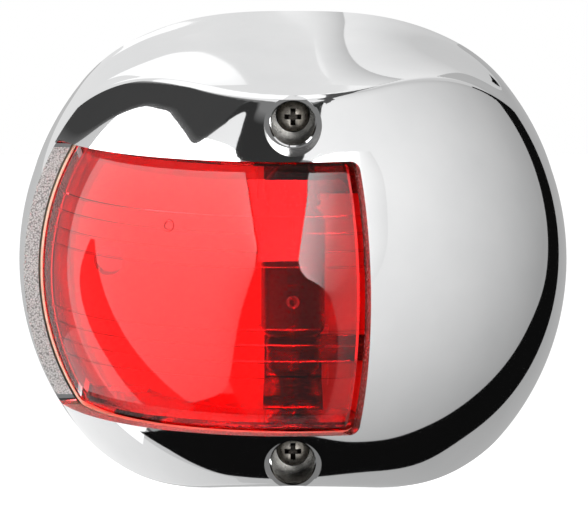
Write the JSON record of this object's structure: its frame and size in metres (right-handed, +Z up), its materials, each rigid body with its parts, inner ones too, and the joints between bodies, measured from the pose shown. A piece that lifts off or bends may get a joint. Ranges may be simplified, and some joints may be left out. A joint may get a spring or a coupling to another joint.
{
  "type": "navigation light",
  "caption": "Port sidelight for a boat: polished cut-dome housing over a red sector lens, with an upright festoon bulb on a wall-mounted base.",
  "frame": {"origin": "centre of the rear face that lies against the wall", "axes": "+X to the right seen from the front, +Y into the wall, +Z up; the front of the light is at -Y"},
  "size_m": [0.0804, 0.0408, 0.0726],
  "materials": {
    "polished_steel": "mirror-polished cast stainless steel, left as cast on the window's cut end",
    "screw_steel": "plain stainless screw",
    "red_lens": "clear red polycarbonate with horizontal prisms",
    "white_plastic": "white moulding",
    "black_rubber": "matte",
    "cream_silicone": "matte silicone",
    "brass": "machined",
    "nickel_plate": "nickel-plated",
    "bulb_glass": "clear glass",
    "tungsten": "bare wire"
  },
  "bodies": {
    "base_assembly": {"base": "white_plastic", "wall_gasket": "black_rubber", "housing_gasket": "black_rubber", "insert_top": "brass", "insert_bottom": "brass", "contact_top": "nickel_plate", "contact_bottom": "nickel_plate", "contact_rivet_top": "brass", "contact_rivet_bottom": "brass", "terminal_clamp_top": "brass", "terminal_clamp_bottom": "brass", "cable_grommet": "black_rubber"},
    "cover": {"housing": "polished_steel", "lens": "red_lens", "lens_seal": "cream_silicone", "cover_screw_seal_top": "black_rubber", "cover_screw_seal_bottom": "black_rubber"},
    "upper_cover_screw": {"cover_screw_top": "screw_steel"},
    "lower_cover_screw": {"cover_screw_bottom": "screw_steel"},
    "bulb": {"bulb_envelope": "bulb_glass", "bulb_filament": "tungsten", "bulb_cap_top": "nickel_plate", "bulb_cap_bottom": "nickel_plate"},
    "upper_terminal_screw": {"terminal_screw_top": "screw_steel"},
    "lower_terminal_screw": {"terminal_screw_bottom": "screw_steel"}
  },
  "joints": [
    {"name": "cover_pull", "type": "slide", "parent": "base_assembly", "child": "cover", "axis": [0, -1, 0], "range_m": [0, 0.05]},
    {"name": "cover_screw_top_turn", "type": "hinge", "parent": "cover", "child": "upper_cover_screw", "pos_m": [0, -0.02, 0.0239], "axis": [0, -1, 0], "continuous": true},
    {"name": "cover_screw_bottom_turn", "type": "hinge", "parent": "cover", "child": "lower_cover_screw", "pos_m": [0, -0.02, -0.0239], "axis": [0, -1, 0], "continuous": true},
    {"name": "bulb_turn", "type": "hinge", "parent": "base_assembly", "child": "bulb", "pos_m": [0, -0.015, 0], "axis": [0, 0, 1], "continuous": true},
    {"name": "terminal_screw_top_turn", "type": "hinge", "parent": "base_assembly", "child": "upper_terminal_screw", "pos_m": [0.017, -0.008, 0.0124], "axis": [0, -1, 0], "continuous": true},
    {"name": "terminal_screw_bottom_turn", "type": "hinge", "parent": "base_assembly", "child": "lower_terminal_screw", "pos_m": [0.017, -0.008, -0.0124], "axis": [0, -1, 0], "continuous": true}
  ]
}
